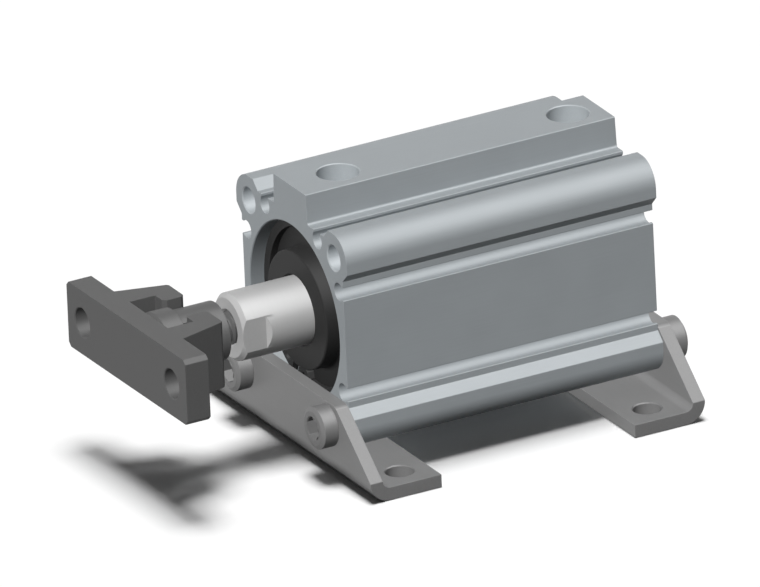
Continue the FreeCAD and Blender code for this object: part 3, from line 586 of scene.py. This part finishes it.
@dataclass
class CylinderBody:
    """The extruded tube and the covers that close it.

    Places on the profile are distances from the bore's axis. Holes, bores and grooves are
    radii, and groove_mouth is half of a groove's opening.
    """

    face: float = 23.79
    lobe_foot: float = 15.49
    lobe_ease: float = 6.0
    lobe_fillet: float = 0.3
    boss_top: float = 7.52
    boss_foot: float = 7.95
    boss_fillet: float = 0.6
    boss_ease: float = 0.25
    groove_aside: float = 12.32
    groove_radius: float = 2.12
    groove_mouth: float = 1.55
    hole_aside: float = 20.0
    ease: float = 0.18
    end_break: float = 0.14
    bore: float = 20.0
    lead_depth: float = 0.3
    lead_length: float = 0.6
    seat: float = 21.0
    seat_lip: float = 0.2
    front_seat: float = 10.0
    ring_groove: float = 22.25
    ring_play: float = 0.05
    tapped: float = 3.0
    tapped_depth: float = 11.0
    tapped_lip: float = 0.25
    through: float = 2.75
    port: float = 4.9
    port_lip: float = 0.2
    port_depth: float = 7.6
    port_from_front: float = 12.5
    port_from_rear: float = 8.0
    passage: float = 2.25

    def __post_init__(self) -> None:
        """Reads the tube's box."""
        self.box = Extent.of("cylinder_tube")
        self.half = self.box.radius
        self.front, self.rear = self.box.low.x, self.box.high.x

    def _face_outline(self, draw: Outline | None, quarter: int) -> Outline:
        """Draws one face of the tube with its grooves, and the lobe after it."""
        def at(out: float, along: float) -> tuple[float, float]:
            """A point of the first face, carried round to this quarter."""
            for _ in range(quarter):
                out, along = -along, out
            return out, along

        face, half, mouth, radius = self.face, self.half, self.groove_mouth, self.groove_radius
        mouth_angle = math.degrees(math.asin(mouth / radius))
        centre = face - radius
        neck = centre + math.sqrt(radius ** 2 - mouth ** 2)
        for side in (-1, 1):
            start = side * self.groove_aside - mouth
            corner = at(face, start)
            draw = draw.to(*corner, self.ease) if draw else Outline(*corner, self.ease)
            draw.to(*at(neck, start))
            draw.arc(*at(centre, side * self.groove_aside), 2 * mouth_angle - 360)
            draw.to(*at(face, start + 2 * mouth), self.ease)
            if quarter == 1 and side == -1:
                top = self.box.high.z - AXIS_Z
                draw.to(*at(face, -self.boss_foot), self.boss_fillet)
                draw.to(*at(top, -self.boss_top), self.boss_ease)
                draw.to(*at(top, self.boss_top), self.boss_ease)
                draw.to(*at(face, self.boss_foot), self.boss_fillet)
        shoulder = self.lobe_foot + half - face
        draw.to(*at(face, self.lobe_foot), self.ease).to(*at(half, shoulder), self.lobe_fillet)
        draw.to(*at(half, half), self.lobe_ease).to(*at(shoulder, half), self.lobe_fillet)
        return draw.to(*at(self.lobe_foot, face), self.ease)

    def _profile(self) -> BMesh:
        """The extrusion, with its cut ends lightly broken."""
        draw = None
        for quarter in range(4):
            draw = self._face_outline(draw, quarter)
        return moved(draw.prism(Plane.ACROSS, self.front, self.rear, rim=self.end_break), z=AXIS_Z)

    def _bore(self) -> BMesh:
        """The tool for the bore, its seats and the ring's groove."""
        ring, rear_seat = Extent.of("retaining_ring"), Extent.of("bottom_plate").low.x
        low, high = ring.low.x - self.ring_play, ring.high.x + self.ring_play
        front, rear, seat, lip = self.front, self.rear, self.seat, self.seat_lip
        step = front + self.front_seat
        tool = Outline(front - OVERCUT, 0).to(front - OVERCUT, seat + lip).to(front, seat + lip)
        tool.to(front + lip, seat).to(low, seat).to(low, self.ring_groove).to(high, self.ring_groove)
        tool.to(high, seat).to(step, seat).to(step, self.bore + self.lead_depth)
        tool.to(step + self.lead_length, self.bore).to(rear_seat, self.bore).to(rear_seat, seat)
        tool.to(rear - lip, seat).to(rear, seat + lip).to(rear + OVERCUT, seat + lip)
        # The bore, its seats and the ring's groove take the darker finish, which is painted shade inside the
        # bore.
        return marked(tool.to(rear + OVERCUT, 0).turned(0, AXIS_Z), SHADED_BORE_WALL)

    def _lobe_hole(self, y: float, z: float) -> BMesh:
        """The tool for a hole through a lobe, tapped at both ends."""
        mouth, depth = self.tapped + self.tapped_lip, self.tapped_depth
        # Each end's corners, as how far in from the end and how wide.
        corners = [(-OVERCUT, 0), (-OVERCUT, mouth), (0, mouth), (self.tapped_lip, self.tapped),
                   (depth, self.tapped), (depth, self.through)]
        tool = Outline(self.front + corners[0][0], corners[0][1])
        for inward, radius in corners[1:]:
            tool.to(self.front + inward, radius)
        for inward, radius in reversed(corners):
            tool.to(self.rear - inward, radius)
        return marked(tool.turned(y, z), TAPPED_WALL)

    def _port(self, x: float) -> tuple[BMesh, BMesh]:
        """The tools for a port and for its passage to the bore."""
        top = self.box.high.z
        hole = drill(-top, self.port_depth - top, self.port, mouth=self.port_lip, point=True,
                     finish=TAPPED_WALL)
        floor = top - self.port_depth
        passage = drill(-floor - OVERCUT, -AXIS_Z - self.bore + OVERCUT, self.passage,
                        finish=TAPPED_WALL)
        return tuple(moved(spun(mesh, "Y", 90), x=x) for mesh in (hole, passage))

    def tube(self) -> Object:
        """The tube: extruded, bored, drilled, tapped and anodised."""
        body = self._profile()
        # The ends look along the tube, and so does the first step of the round on their rims.
        for face in body.faces:
            if abs(face.normal.x) > 0.9:
                face.material_index = MILLED_END
        sides = (-self.hole_aside, self.hole_aside)
        holes = [self._lobe_hole(y, AXIS_Z + z) for y in sides for z in sides]
        ports = [self._port(x) for x in (self.front + self.port_from_front, self.rear - self.port_from_rear)]
        body = cut(body, self._bore(), *holes)
        body = cut(body, *(hole for hole, _ in ports))
        body = cut(body, *(passage for _, passage in ports))
        return dressed("cylinder_tube", body, (EXTRUDED, MILLED, BORED_PAINTED_SHADE, TAPPED))

    def collar(self) -> Object:
        """The front cover: a nose round the rod, a flange in the seat and a hub behind."""
        box, ring = Extent.of("collar"), Extent.of("retaining_ring")
        seal, bushing = Extent.of("rod_seal"), Extent.of("rod_bushing")
        flange = ring.high.x + self.ring_play
        nose, nose_fillet, lip, hub = 14.0, 1.2, 8.4, 16.0
        draw = Outline(box.low.x, lip, 0.2).to(box.low.x, nose, 0.4).to(flange, nose, nose_fillet)
        draw.to(flange, box.radius, 0.2).to(self.front + self.front_seat, box.radius, 0.2)
        draw.to(self.front + self.front_seat, hub, 0.4).to(box.high.x, hub, 0.5)
        draw.to(box.high.x, bushing.radius).to(bushing.low.x, bushing.radius).to(bushing.low.x, lip)
        draw.to(seal.high.x, lip).to(seal.high.x, seal.radius).to(seal.low.x, seal.radius)
        draw.to(seal.low.x, lip)
        return dressed("collar", draw.turned(0, AXIS_Z, closed=True), (CAST_BLACK,))

    def retaining_ring(self) -> Object:
        """The snap ring: one flat band with an eyed lug each side of its gap."""
        box = Extent.of("retaining_ring")
        outer, inner, tip, gap, turn = 22.15, 18.8, 16.35, 1.2, 24.5
        lug, slant, eye, eye_lip, eye_aside, eye_down = 5.9, 1.25, 1.25, 0.12, 3.85, 18.85
        lug_side = [(gap, tip, 0.3), (lug - slant, tip, 0.5), (lug, tip + slant, 0.0),
                    (lug, math.sqrt(inner ** 2 - lug ** 2), 0.0)]
        open_angle = math.degrees(math.asin(gap / outer))
        lug_angle = math.degrees(math.asin(lug / inner))
        draw = Outline(gap, -math.sqrt(outer ** 2 - gap ** 2), 0.4).arc(0, 0, 360 - 2 * open_angle)
        for aside, down, ease in lug_side:
            draw.to(-aside, -down, ease)
        draw.arc(0, 0, 2 * lug_angle - 360)
        for aside, down, ease in reversed(lug_side[:-1]):
            draw.to(aside, -down, ease)
        band = draw.prism(Plane.ACROSS, box.low.x, box.high.x, rim=0.1)
        eyes = pair(drill(box.low.x, box.high.x + OVERCUT, eye, mouth=eye_lip), eye_aside, z=-eye_down)
        band = moved(spun(cut(band, *eyes), "X", turn), z=AXIS_Z)
        return dressed("retaining_ring", band, (PHOSPHATED,))

    def bottom_plate(self) -> Object:
        """The rear cover: a disc with a gasket groove in its rim and a shallow recess."""
        box, gasket = Extent.of("bottom_plate"), Extent.of("bottom_gasket").middle.x
        groove, floor = 1.3, box.radius - 1.7
        recess, draft, depth = 15.0, 0.4, 1.0
        draw = Outline(box.low.x, 0).to(box.low.x, box.radius, 0.3)
        draw.to(gasket - groove, box.radius).to(gasket - groove, floor).to(gasket + groove, floor)
        draw.to(gasket + groove, box.radius).to(box.high.x, box.radius, 0.3)
        draw.to(box.high.x, recess, 0.25).to(box.high.x - depth, recess - draft, 0.3)
        draw.to(box.high.x - depth, 0)
        return dressed("bottom_plate", draw.turned(0, AXIS_Z), (CAST_BLACK,))

    def build(self) -> None:
        """Makes the tube and what closes it."""
        self.tube()
        self.collar()
        self.retaining_ring()
        self.bottom_plate()


@dataclass
class RodGroup:
    """The piston rod and the floating joint's stud that is screwed into it.

    Widths are radii, or distances from the rod's axis.
    """

    rod_chamfer: float = 1.0
    flats: float = 7.0
    flats_end: float = 6.0
    flats_ramp: float = 2.0
    flats_margin: float = 2.2
    mill_depth: float = 6.0
    mill_reach: float = 10.0
    tapped: float = 4.0
    tapped_depth: float = 14.0
    tapped_lip: float = 0.45
    pitch: float = 1.25
    ridge_inset: float = 0.5
    ridge_height: float = 0.55
    spigot: float = 5.0
    stake: float = 1.0
    head_length: float = 6.0
    head_chamfer: float = 1.3
    neck: float = 7.0
    neck_length: float = 7.0
    neck_flats: float = 4.0
    collar_length: float = 4.0
    tip_chamfer: float = 0.7
    thread_core: float = 3.35
    thread_crest: float = 3.95
    thread_from_collar: float = 0.3
    thread_from_tip: float = 0.4

    def _flats(self, start: float, end: float, half: float, ramp: float = 0.0) -> BMesh:
        """The tool that mills two flats, each ending square or in a slope of that length."""
        clear = half + (ramp or self.mill_depth)
        sides = []
        for way in (1, -1):
            side = Outline(start, way * half).to(end, way * half)
            side.to(end + ramp, way * clear).to(start, way * clear)
            sides.append(side.prism(Plane.PLAN, -self.mill_reach, self.mill_reach))
        return marked(moved(joined(*sides), z=AXIS_Z), CUT_FINISH)

    def rod(self) -> Object:
        """The rod: ground and chromed, milled flats, a tapped end and a staked spigot."""
        box, shoulder = Extent.of("piston_rod"), Extent.of("piston").low.x
        tip, radius = box.low.x, box.radius
        draw = Outline(tip, 0).to(tip, radius - self.rod_chamfer, 0.1)
        # A ring of edges past the flats keeps their shading off the long ground surface.
        draw.to(tip + self.rod_chamfer, radius, 0.1)
        draw.to(tip + self.flats_end + self.flats_margin, radius)
        draw.to(shoulder, radius, 0.3).to(shoulder, self.spigot)
        draw.to(box.high.x - self.stake, self.spigot).to(box.high.x, self.spigot + self.stake)
        body = draw.to(box.high.x, 0).turned(0, AXIS_Z)
        hole = drill(tip, tip + self.tapped_depth, self.tapped, mouth=self.tapped_lip, point=True,
                     finish=CUT_FINISH)
        body = cut(body, moved(hole, z=AXIS_Z))
        body = cut(body, self._flats(tip - OVERCUT, tip + self.flats_end, self.flats, self.flats_ramp))
        ridge = thread(tip + self.ridge_inset, tip + self.tapped_depth - self.ridge_inset, self.tapped,
                       self.tapped - self.ridge_height, self.pitch, CUT_FINISH)
        return dressed("piston_rod", joined(body, moved(ridge, z=AXIS_Z)), (CHROMED, CHROMED_MILLED))

    def stud(self) -> Object:
        """The stud: a disc head, a flatted neck, a collar and a thread."""
        box = Extent.of("joint_stud")
        rear = box.low.x + self.head_length
        neck_end = rear + self.neck_length
        seat = neck_end + self.collar_length
        draw = Outline(box.low.x, 0).to(box.low.x, box.radius - self.head_chamfer, 0.15)
        draw.to(box.low.x + self.head_chamfer, box.radius, 0.15).to(rear, box.radius, 0.2)
        draw.to(rear, self.neck, 0.2).to(seat, self.neck, 0.25).to(seat, self.thread_core, 0.3)
        draw.to(box.high.x - self.tip_chamfer, self.thread_core, 0.1)
        draw.to(box.high.x, self.thread_core - self.tip_chamfer)
        body = draw.to(box.high.x, 0).turned(0, AXIS_Z)
        body = cut(body, self._flats(rear, neck_end, self.neck_flats))
        ridge = thread(seat + self.thread_from_collar, box.high.x - self.thread_from_tip,
                       self.thread_core, self.thread_crest, self.pitch)
        return dressed("joint_stud", joined(body, moved(ridge, z=AXIS_Z)), (OXIDE_TURNED, OXIDE_MILLED))

    def build(self) -> None:
        """Makes the rod and the stud."""
        self.rod()
        self.stud()


@dataclass
class MountingBracket:
    """The drilled plate whose jaws hold the stud's head in a T-slot."""

    plate: float = 6.0
    slot: float = 9.0
    neck: float = 5.0
    neck_bevel: float = 0.9
    lip: float = 12.5
    jaw_foot: float = 16.3
    jaw_tip: float = 13.0
    tip_break: float = 0.5
    end_chamfer: float = 1.0
    ease: float = 0.15
    hole: float = 3.5
    hole_lip: float = 0.2
    hole_aside: float = 21.0

    def build(self) -> Object:
        """Mills the bracket, chamfers its ends and drills it."""
        box = Extent.of("mounting_bracket")
        front, tip, half = box.low.x, box.high.x, box.radius
        floor, lip = front + self.plate, front + self.lip
        bevel, corner = self.neck_bevel, self.tip_break
        side = [(front, half), (floor, half), (floor, self.jaw_foot), (tip - corner, self.jaw_tip),
                (tip, self.jaw_tip - corner), (tip, self.neck + bevel), (tip - bevel, self.neck),
                (lip + bevel, self.neck), (lip, self.neck + bevel), (lip, self.slot), (floor, self.slot)]
        draw = Outline(*side[0])
        for x, y in side[1:] + [(x, -y) for x, y in reversed(side)]:
            draw.to(x, y)
        body = draw.prism(Plane.PLAN, box.low.z, box.high.z)
        ends = [edge for edge in body.edges
                if abs(abs(edge.verts[0].co.y + edge.verts[1].co.y) / 2 - half) < WELD
                and abs(edge.verts[0].co.z - edge.verts[1].co.z) < WELD]
        bmesh.ops.bevel(body, geom=ends, offset=self.end_chamfer, offset_type="OFFSET",
                        affect="EDGES", segments=1, profile=0.5, material=-1)
        ease_sharp(body, self.ease)
        hole = drill(front, floor + OVERCUT, self.hole, mouth=self.hole_lip)
        holes = pair(hole, self.hole_aside, z=AXIS_Z)
        return dressed("mounting_bracket", cut(body, *holes), (OXIDE_MILLED,))


@dataclass
class FootBracket:
    """A foot: sheet steel bent inwards under the tube, and the two bolts that hold it.

    turns is how far the left and the right bolt's socket are turned, in degrees.
    """

    end: str
    turns: tuple[float, float]
    sheet: float = 3.2
    inside: float = 1.8
    ease: float = 0.2
    corner: float = 24.0
    corner_width: float = 1.4
    corner_drop: float = 0.6
    floor_hole: float = 3.3
    floor_hole_lip: float = 0.25
    floor_hole_in: float = 8.0
    floor_hole_aside: float = 32.0
    bolt_aside: float = 20.0
    head_height: float = 4.1
    head_chamfer: float = 1.0
    head_chamfer_height: float = 0.6
    shank: float = 2.95
    shank_chamfer: float = 0.8
    bolt_length: float = 11.0
    socket_flats: float = 5.0
    socket_depth: float = 2.4
    socket_drill: float = 2.25
    socket_mouth: float = 2.6
    socket_lip: float = 0.3

    def __post_init__(self) -> None:
        """Finds the face of the tube that the foot is bolted to."""
        self.box = Extent.of(f"{self.end}_foot")
        self.way = 1 if self.end == "front" else -1
        self.seat = self.box.low.x + self.sheet if self.way > 0 else self.box.high.x - self.sheet
        self.bolt_z = Extent.of(f"{self.end}_foot_bolt_left").middle.z

    def _placed(self, mesh: BMesh) -> BMesh:
        """Turns a solid that was drawn for the front, inwards along +X, to this end."""
        if self.way < 0:
            bmesh.ops.scale(mesh, vec=(-1, 1, 1), verts=mesh.verts)
            bmesh.ops.reverse_faces(mesh, faces=mesh.faces)
        return moved(mesh, x=self.seat)

    def foot(self) -> Object:
        """The bent sheet, sheared to its slopes and punched."""
        half, top, bend = self.box.radius, self.box.high.z, self.inside + self.sheet
        toe = self.box.high.x - self.box.low.x - self.sheet
        bent = Outline(0, top + OVERCUT).to(-self.sheet, top + OVERCUT).to(-self.sheet, bend)
        bent.arc(self.inside, bend, 90).to(toe, 0).to(toe, self.sheet).to(self.inside, self.sheet)
        bent = bent.arc(self.inside, bend, -90).prism(Plane.SIDE, -half - OVERCUT, half + OVERCUT)
        blank = Outline(-half, -OVERCUT).to(half, -OVERCUT).to(half, bend)
        blank.to(self.corner, top - self.corner_drop).to(self.corner - self.corner_width, top)
        blank.to(self.corner_width - self.corner, top).to(-self.corner, top - self.corner_drop)
        blank = blank.to(-half, bend).prism(Plane.ACROSS, -self.sheet - OVERCUT, toe + OVERCUT)
        sheet = combined(bent, blank, "INTERSECT")
        # The sheared ends and slopes are the faces that look to the side.
        for face in sheet.faces:
            if abs(face.normal.y) > 0.5:
                face.material_index = CUT_FINISH
        ease_sharp(sheet, self.ease)
        hole = drill(-self.sheet, OVERCUT, self.floor_hole, mouth=self.floor_hole_lip, finish=CUT_FINISH)
        floor = pair(spun(hole, "Y", 90), self.floor_hole_aside, x=self.floor_hole_in)
        bolts = pair(drill(-self.sheet, OVERCUT, self.floor_hole), self.bolt_aside, z=self.bolt_z)
        sheet = cut(sheet, *floor, *bolts)
        return dressed(f"{self.end}_foot", self._placed(sheet), (PLATED_SHEET, PLATED_EDGE))

    def bolt(self, side: str, turn: float) -> Object:
        """One low-head socket bolt, with its socket turned as it was tightened."""
        node = f"{self.end}_foot_bolt_{side}"
        box = Extent.of(node)
        face, head = -self.sheet - self.head_height, (box.high.z - box.low.z) / 2
        tip = face + self.head_height + self.bolt_length
        draw = Outline(face, 0).to(face, head - self.head_chamfer, 0.15)
        draw.to(face + self.head_chamfer_height, head, 0.2).to(-self.sheet, head, 0.15)
        draw.to(-self.sheet, self.shank, 0.2).to(tip - self.shank_chamfer, self.shank, 0.1)
        body = draw.to(tip, self.shank - self.shank_chamfer).to(tip, 0).turned(0, 0)
        corner = self.socket_flats / math.sqrt(3)
        hexagon = Outline(corner, 0)
        for step in range(1, 6):
            angle = math.radians(60 * step)
            hexagon.to(corner * math.cos(angle), corner * math.sin(angle))
        depth = face + self.socket_depth
        key = marked(hexagon.prism(Plane.ACROSS, face - OVERCUT, depth), CUT_FINISH)
        point = drill(depth, depth + HAIR, self.socket_drill, point=True, finish=CUT_FINISH)
        mouth = drill(face, face + HAIR, self.socket_mouth, mouth=self.socket_lip, finish=CUT_FINISH)
        for tool in (key, point, mouth):
            body = cut(body, tool)
        body = moved(spun(body, "X", turn), y=box.middle.y, z=box.middle.z)
        return dressed(node, self._placed(body), (bolt_finish(box), SOCKET))

    def build(self) -> None:
        """Makes the foot and its bolts."""
        self.foot()
        for side, turn in zip(("left", "right"), self.turns):
            self.bolt(side, turn)


def bolt_finish(box: Extent) -> Finish:
    """Nickel plate on turned steel, with fine rings about that bolt's own axis."""
    centre = (box.middle.y, box.middle.z)
    side = "left" if centre[0] > 0 else "right"
    return Finish(
        f"nickel_plated_bolt_{side}", "#707070", metallic=0.05, roughness=0.46,
        grain=Grain.TURNED, relief=2.0, specular=0.15, centre=centre)


# The broached socket: plated too, but rougher and darker.
SOCKET = Finish("nickel_plated_socket", "#646464", metallic=0.05, contrast=0.1, specular=0.15)

INNER_FINISHES = {
    "seal_rubber": Finish("moulded_nitrile_rubber", "#1E1E1E", roughness=0.6),
    "bearing_bronze": Finish(
        "sintered_bearing_bronze", "#8A6B3C", metallic=0.8, roughness=0.45, contrast=0.12),
    "piston_aluminium": Finish(
        "chromated_turned_aluminium", "#B9B39A", metallic=0.7, roughness=0.35, grain=Grain.TURNED,
        relief=2.0, centre=AXIS),
    "guide_resin": Finish("cut_guide_resin", "#CDC6AE", grain_mm=0.4),
    "magnet_rubber": Finish(
        "rubber_bonded_magnet", "#2B2624", roughness=0.55, grain_mm=0.25, contrast=0.15),
    "bumper_urethane": Finish("moulded_urethane", "#A87F35", roughness=0.4, grain_mm=0.5),
}


def dress_inner_pieces() -> None:
    """Gives the pieces inside the tube, whose solids stay, their finishes."""
    for node, slot in SLOT_OF.items():
        if slot in INNER_FINISHES and not frame["nodes"][node].hide_render:
            for holder in frame["nodes"][node].material_slots:
                holder.material = INNER_FINISHES[slot].material()


@dataclass(frozen=True)
class Fill:
    """A soft shadowless lamp: a panel that lights a side, or one that only shines in gloss."""

    name: str
    strength: float
    source: tuple[float, float, float]
    spread: float
    gloss: bool = False


@dataclass(frozen=True)
class Studio:
    """A white floor and plain soft light, with the camera of the photograph.

    Angles are in degrees, scale is in pixels for each millimetre, distance in millimetres,
    and clip_end and floor_half, which is half of the floor's side, are in metres.
    """

    azimuth: float = -27.550
    elevation: float = 23.133
    roll: float = -2.632
    scale: float = 4.44316
    frame_width: int = 760
    frame_height: int = 587
    aim_pixel: tuple[float, float] = (294.87, 310.81)
    distance: float = 600.0
    clip_end: float = 10.0
    floor_half: float = 3.0
    floor_return: float = 0.04
    ambient: float = 0.05
    overhead: float = 3.05
    overhead_spread: float = 22.0
    fills: tuple[Fill, ...] = (
        Fill("key_panel", 4.4, (-0.592, -0.446, 0.671), 30.0),
        Fill("back_panel", 2.2, (0.63, 0.77, 0.06), 50.0),
        Fill("gloss_strip", 12.0, (0.43, -0.39, 0.82), 70.0, gloss=True))

    def camera(self) -> None:
        """Places the camera so that the tube's front lands where the photograph has it."""
        across, up = math.radians(self.azimuth), math.radians(self.elevation)
        back = Vector((math.sin(across) * math.cos(up), -math.cos(across) * math.cos(up), math.sin(up)))
        right = Vector((math.cos(across), math.sin(across), 0))
        turn = Matrix.Rotation(math.radians(self.roll), 3, back)
        right, above = turn @ right, turn @ back.cross(right)
        aim = Vector((Extent.of("cylinder_tube").low.x, 0, AXIS_Z))
        aside = (self.frame_width / 2 - self.aim_pixel[0]) / self.scale
        down = (self.frame_height / 2 - self.aim_pixel[1]) / self.scale
        place = aim + aside * right - down * above + self.distance * back
        data = bpy.data.cameras.new("camera")
        data.type = "ORTHO"
        data.ortho_scale = self.frame_width / self.scale * MM
        data.clip_end = self.clip_end
        camera = linked("camera", data)
        rows = Matrix((right, above, back)).transposed().to_4x4()
        camera.matrix_world = Matrix.Translation(place * MM) @ rows
        bpy.context.scene.camera = camera

    def _sun(self, name: str, strength: float, direction: Sequence[float],
             spread: float) -> Object:
        """A lamp that shines from a direction with a soft edge."""
        data = bpy.data.lights.new(name, "SUN")
        data.energy, data.angle = strength, math.radians(spread)
        lamp = linked(name, data)
        lamp.rotation_mode = "QUATERNION"
        lamp.rotation_quaternion = Vector(direction).to_track_quat("Z", "Y")
        return lamp

    def lights(self, floor: Object) -> None:
        """An overhead lamp that gives the floor its shadow, and soft fills for the object."""
        lit = bpy.data.collections.new("floor_only")
        lit.objects.link(floor)
        self._sun("overhead", self.overhead, (0, 0, 1),
                  self.overhead_spread).light_linking.receiver_collection = lit
        spared = bpy.data.collections.new("all_but_the_floor")
        spared.objects.link(floor)
        spared.collection_objects[0].light_linking.link_state = "EXCLUDE"
        for fill in self.fills:
            lamp = self._sun(fill.name, fill.strength, fill.source, fill.spread)
            lamp.data.use_shadow = False
            lamp.visible_glossy, lamp.visible_diffuse = fill.gloss, not fill.gloss
            lamp.light_linking.receiver_collection = spared

    def _level(self, tree: NodeTree, scattered: float) -> NodeSocket:
        """1 for a ray from the camera, a mirror or glass, and that value for scattered light."""
        path = add(tree, "ShaderNodeLightPath")
        shine = add(tree, "ShaderNodeMath", {
            0: path.outputs["Is Camera Ray"], 1: path.outputs["Is Glossy Ray"]}, operation="MAXIMUM")
        seen = add(tree, "ShaderNodeMath", {
            0: shine.outputs[0], 1: path.outputs["Is Transmission Ray"]}, operation="MAXIMUM")
        return add(tree, "ShaderNodeMapRange", {
            "Value": seen.outputs[0], "To Min": scattered, "To Max": 1.0}).outputs[0]

    def world(self) -> None:
        """A white backdrop that lights the object as a dim even sky."""
        world = bpy.data.worlds.new("studio")
        bpy.context.scene.world = world
        tree = bare_tree(world)
        sky = add(tree, "ShaderNodeBackground", {
            "Strength": self._level(tree, self.ambient), "Color": linear("#FFFFFF")})
        add(tree, "ShaderNodeOutputWorld", {"Surface": sky.outputs[0]})

    def floor(self) -> Object:
        """A large white floor that throws little light back up."""
        mesh = bmesh.new()
        bmesh.ops.create_grid(mesh, x_segments=1, y_segments=1, size=self.floor_half)
        floor = linked("studio_floor", stored("studio_floor", mesh))
        paint = bpy.data.materials.new("matt_white_floor")
        tree = bare_tree(paint)
        matt = add(tree, "ShaderNodeBsdfDiffuse", {"Color": self._level(tree, self.floor_return)})
        add(tree, "ShaderNodeOutputMaterial", {"Surface": matt.outputs[0]})
        floor.data.materials.append(paint)
        return floor

    def build(self) -> None:
        """Sets up the camera, the floor and the light."""
        bpy.context.scene.view_settings.view_transform = "Standard"
        self.camera()
        self.lights(self.floor())
        self.world()


def main() -> None:
    """Builds the studio and every piece."""
    Studio().build()
    CylinderBody().build()
    RodGroup().build()
    MountingBracket().build()
    FootBracket("front", turns=(37.0, 14.0)).build()
    FootBracket("rear", turns=(52.0, 5.0)).build()
    dress_inner_pieces()


if __name__ == "__main__":
    logging.basicConfig(level=logging.INFO, format="%(message)s")
    main()
